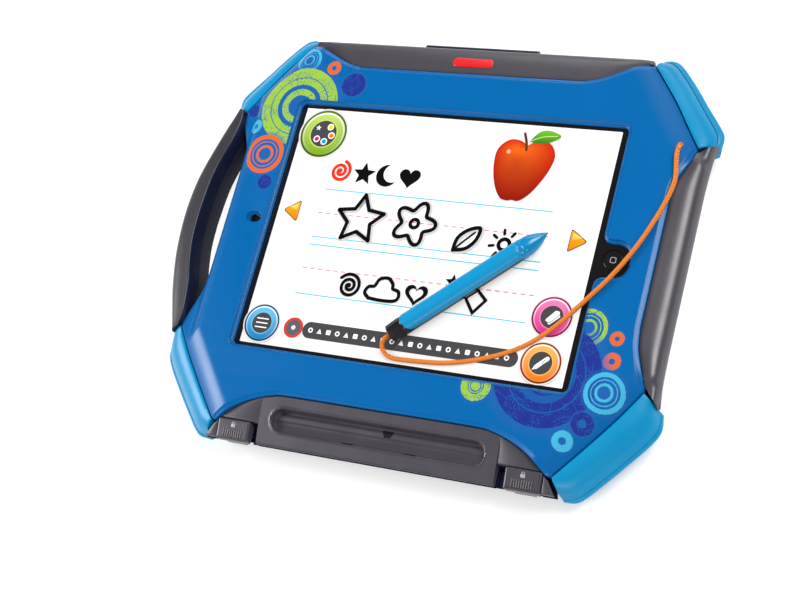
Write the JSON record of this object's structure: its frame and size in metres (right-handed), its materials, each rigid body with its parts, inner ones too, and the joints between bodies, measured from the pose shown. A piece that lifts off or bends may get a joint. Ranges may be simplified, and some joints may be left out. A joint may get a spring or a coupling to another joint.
{
  "type": "tablet learning case with tethered stylus",
  "caption": "Clamshell learning case that locks a tablet computer behind a bezel, with carry handle, stylus tray, sliding latches and a stylus on a braided cord.",
  "frame": {"origin": "centre of the box of the case and stylus, on the surface that the rubber feet stand on", "axes": "+X along the long side, away from the carry handle; +Y along the short side, towards the lid hinge; +Z out of the screen"},
  "size_m": [0.3148, 0.2547, 0.0399],
  "materials": {
    "case_blue": "satin moulded plastic",
    "bumper_blue": "satin moulded plastic",
    "charcoal": "soft-touch moulded plastic",
    "badge_red": "glossy",
    "dark_plastic": "matte",
    "cord_orange": "braided",
    "steel": "zinc plated",
    "rubber": "matte",
    "aluminium": "anodised",
    "cover_glass": "polished dark glass",
    "display": "lit screen",
    "battery": "foil",
    "board": "solder mask",
    "lens_black": "polished",
    "gold": "plated",
    "button_black": "gloss",
    "stylus_blue": "satin moulded plastic",
    "stylus_nib": "conductive soft tip",
    "stylus_black": "gloss"
  },
  "bodies": {
    "rear_case": {"rear_shell": "case_blue", "inner_tray": "dark_plastic", "bumper_rear_top_left": "bumper_blue", "bumper_rear_top_right": "bumper_blue", "bumper_rear_low_left": "bumper_blue", "bumper_rear_low_right": "bumper_blue", "top_grip_rear": "charcoal", "side_grip_rear": "charcoal", "handle_rear": "charcoal", "rear_screws": "steel", "rear_feet": "rubber", "hinge_pin": "steel", "tray_pads": "rubber", "tablet_back": "aluminium", "tablet_glass": "cover_glass", "display_panel": "display", "battery_cells": "battery", "logic_board": "board", "speaker": "dark_plastic", "front_camera": "lens_black", "rear_camera": "lens_black", "dock_connector": "steel", "home_switch": "gold"},
    "front_frame": {"front_bezel": "case_blue", "bumper_front_top_left": "bumper_blue", "bumper_front_top_right": "bumper_blue", "bumper_front_low_left": "bumper_blue", "bumper_front_low_right": "bumper_blue", "top_grip_front": "charcoal", "side_grip_front": "charcoal", "handle_front": "charcoal", "tray_bar": "charcoal", "badge": "badge_red", "cord_grommet": "case_blue", "cord_anchor": "cord_orange", "front_screws": "steel", "cord_upper": "cord_orange"},
    "latch_left": {"latch_left": "charcoal"},
    "latch_right": {"latch_right": "charcoal"},
    "home_button": {"home_button": "button_black"},
    "power_button": {"power_button": "button_black"},
    "volume_rocker": {"volume_rocker": "button_black"},
    "stylus": {"stylus_barrel": "stylus_blue", "stylus_shell": "stylus_black", "stylus_cap": "stylus_black", "stylus_nib": "stylus_nib", "stylus_core": "aluminium", "cord_lower": "cord_orange"}
  },
  "joints": [
    {"name": "lid_hinge", "type": "hinge", "parent": "rear_case", "child": "front_frame", "pos_m": [0.00568, 0.12465, 0.0192], "axis": [-1, 0, 0], "range_deg": [0, 95], "deforming": ["cord_upper"]},
    {"name": "latch_left_slide", "type": "slide", "parent": "front_frame", "child": "latch_left", "axis": [1, 0, 0], "range_m": [0, 0.005]},
    {"name": "latch_right_slide", "type": "slide", "parent": "front_frame", "child": "latch_right", "axis": [-1, 0, 0], "range_m": [0, 0.005]},
    {"name": "home_press", "type": "slide", "parent": "rear_case", "child": "home_button", "axis": [0, 0, 1], "range_m": [-0.0005, 0], "stiffness_N_per_m": 500},
    {"name": "power_press", "type": "slide", "parent": "rear_case", "child": "power_button", "axis": [1, 0, 0], "range_m": [0, 0.0003], "stiffness_N_per_m": 500},
    {"name": "volume_press", "type": "slide", "parent": "rear_case", "child": "volume_rocker", "axis": [0, -1, 0], "range_m": [0, 0.0003], "stiffness_N_per_m": 500},
    {"name": "stylus_lift", "type": "slide", "parent": "rear_case", "child": "stylus", "axis": [0, 0, 1], "range_m": [0, 0.02], "deforming": ["cord_lower"]}
  ]
}
